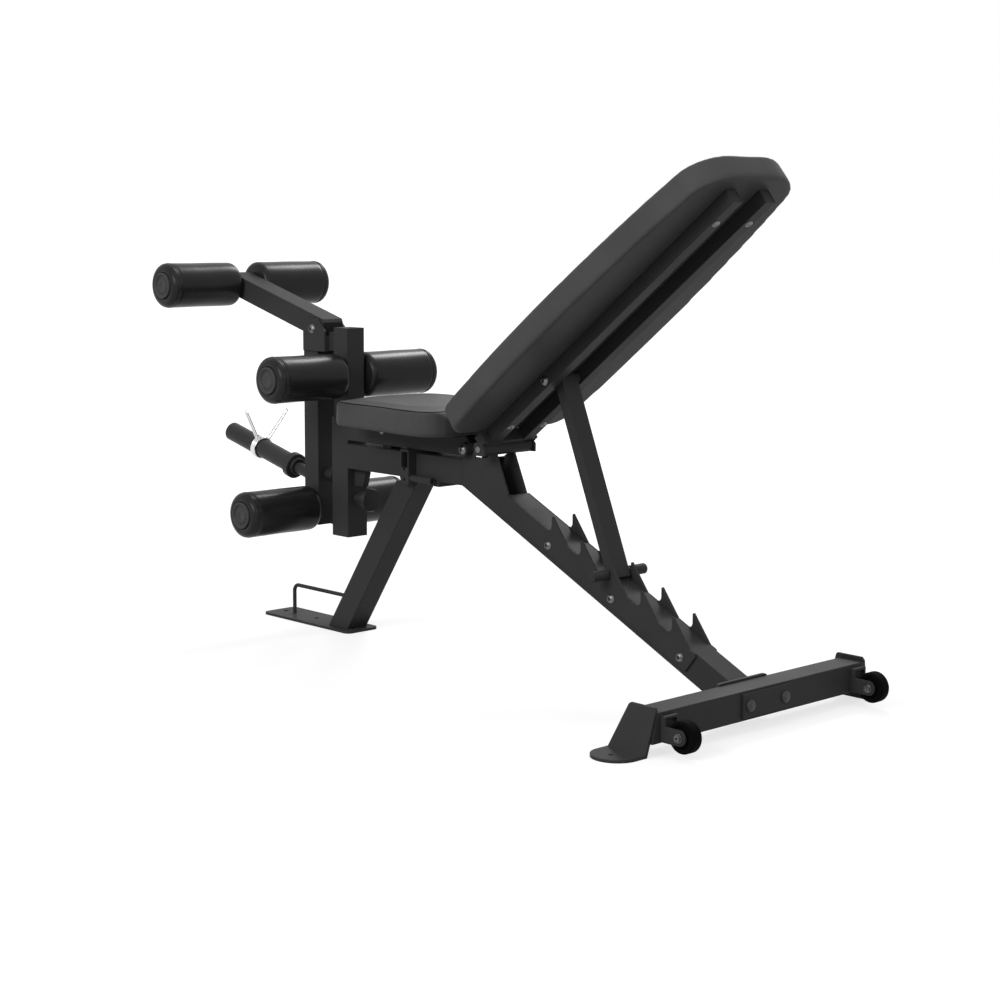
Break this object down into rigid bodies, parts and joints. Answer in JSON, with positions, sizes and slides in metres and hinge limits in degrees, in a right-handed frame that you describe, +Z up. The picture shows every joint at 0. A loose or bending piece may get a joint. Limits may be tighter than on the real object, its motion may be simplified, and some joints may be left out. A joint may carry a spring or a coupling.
{
  "type": "adjustable weight bench",
  "caption": "Adjustable incline weight bench on a black steel frame, with padded seat and backrest, a notched ladder strut and a telescoping roller leg developer with a weight sleeve.",
  "frame": {"origin": "centre of the footprint's bounding box, on the floor", "axes": "+Z up; +Y towards the rear base with the transport wheels; -Y towards the leg developer, the way the user faces; +X to the user's left"},
  "size_m": [0.7112, 1.5672, 0.9485],
  "materials": {
    "black_paint": "satin",
    "zinc": "polished",
    "vinyl": "satin",
    "foam": "satin",
    "black_plastic": "matte",
    "wheel_rubber": "matte",
    "sleeve_plastic": "satin"
  },
  "bodies": {
    "frame": {"crossbar": "black_paint", "foot_plate_l": "black_paint", "foot_plate_r": "black_paint", "wheel_fork_l": "black_paint", "wheel_fork_r": "black_paint", "wheel_axle_l": "zinc", "wheel_axle_r": "zinc", "base_bolts": "black_paint", "spine": "black_paint", "ladder_l": "black_paint", "ladder_r": "black_paint", "ladder_bolts": "zinc", "neck": "black_paint", "main_tube": "black_paint", "front_leg": "black_paint", "front_plate": "black_paint", "foot_handle": "black_paint", "coupler": "black_paint", "lock_pins": "black_paint", "dev_tube": "black_paint", "bumper": "black_plastic"},
    "wheel_left": {"wheel_l": "wheel_rubber"},
    "wheel_right": {"wheel_r": "wheel_rubber"},
    "backrest": {"back_pad": "vinyl", "back_frame": "black_paint", "back_bolts": "zinc", "hinge_bolt": "zinc", "strut_bolt": "zinc"},
    "strut": {"strut": "black_paint"},
    "seat": {"seat_pad": "vinyl", "seat_frame": "black_paint", "seat_bolts": "zinc", "seat_pivot": "zinc"},
    "post": {"inner_post": "black_paint", "mid_axle": "black_paint", "lever_pivot": "zinc"},
    "lever": {"lever": "black_paint", "low_axle": "black_paint", "top_axle": "black_paint", "sleeve": "sleeve_plastic"},
    "pop_pin": {"pop_pin": "black_plastic"},
    "collar": {"spring_collar": "zinc"},
    "roller_top_left": {"roller_top_l": "foam", "cap_top_l": "black_plastic"},
    "roller_top_right": {"roller_top_r": "foam", "cap_top_r": "black_plastic"},
    "roller_mid_left": {"roller_mid_l": "foam", "cap_mid_l": "black_plastic"},
    "roller_mid_right": {"roller_mid_r": "foam", "cap_mid_r": "black_plastic"},
    "roller_low_left": {"roller_low_l": "foam", "cap_low_l": "black_plastic"},
    "roller_low_right": {"roller_low_r": "foam", "cap_low_r": "black_plastic"}
  },
  "joints": [
    {"name": "backrest_hinge", "type": "hinge", "parent": "frame", "child": "backrest", "pos_m": [0, 0.08164, 0.418], "axis": [1, 0, 0], "range_deg": [0, 18.4]},
    {"name": "strut_pivot", "type": "hinge", "parent": "backrest", "child": "strut", "pos_m": [0, 0.24114, 0.55501], "axis": [1, 0, 0], "range_deg": [-16, 0.5]},
    {"name": "seat_tilt", "type": "hinge", "parent": "frame", "child": "seat", "pos_m": [0, 0.01064, 0.4095], "axis": [-1, 0, 0], "range_deg": [0, 8]},
    {"name": "post_slide", "type": "slide", "parent": "frame", "child": "post", "axis": [0, 0, 1], "range_m": [-0.036, 0.036]},
    {"name": "lever_swing", "type": "hinge", "parent": "post", "child": "lever", "pos_m": [0, -0.45836, 0.616], "axis": [-1, 0, 0], "range_deg": [0, 75]},
    {"name": "wheel_left_spin", "type": "hinge", "parent": "frame", "child": "wheel_left", "pos_m": [0.248, 0.75665, 0.037], "axis": [1, 0, 0], "continuous": true},
    {"name": "wheel_right_spin", "type": "hinge", "parent": "frame", "child": "wheel_right", "pos_m": [-0.248, 0.75665, 0.037], "axis": [1, 0, 0], "continuous": true},
    {"name": "roller_top_left_spin", "type": "hinge", "parent": "lever", "child": "roller_top_left", "pos_m": [0.1175, -0.73333, 0.6991], "axis": [1, 0, 0], "continuous": true},
    {"name": "roller_top_right_spin", "type": "hinge", "parent": "lever", "child": "roller_top_right", "pos_m": [-0.1175, -0.73333, 0.6991], "axis": [1, 0, 0], "continuous": true},
    {"name": "roller_mid_left_spin", "type": "hinge", "parent": "post", "child": "roller_mid_left", "pos_m": [0.1175, -0.37585, 0.524], "axis": [1, 0, 0], "continuous": true},
    {"name": "roller_mid_right_spin", "type": "hinge", "parent": "post", "child": "roller_mid_right", "pos_m": [-0.1175, -0.37585, 0.524], "axis": [1, 0, 0], "continuous": true},
    {"name": "roller_low_left_spin", "type": "hinge", "parent": "lever", "child": "roller_low_left", "pos_m": [0.1175, -0.46886, 0.246], "axis": [1, 0, 0], "continuous": true},
    {"name": "roller_low_right_spin", "type": "hinge", "parent": "lever", "child": "roller_low_right", "pos_m": [-0.1175, -0.46886, 0.246], "axis": [1, 0, 0], "continuous": true},
    {"name": "pin_pull", "type": "slide", "parent": "frame", "child": "pop_pin", "axis": [0, 1, 0], "range_m": [0, 0.012], "stiffness_N_per_m": 900, "springref_m": -0.004},
    {"name": "collar_slide", "type": "slide", "parent": "lever", "child": "collar", "axis": [0, -0.9703, 0.2419], "range_m": [-0.09, 0.085]}
  ],
  "couplings": [
    {"joint": "strut_pivot", "follows": "backrest_hinge", "ratio": -0.85}
  ]
}
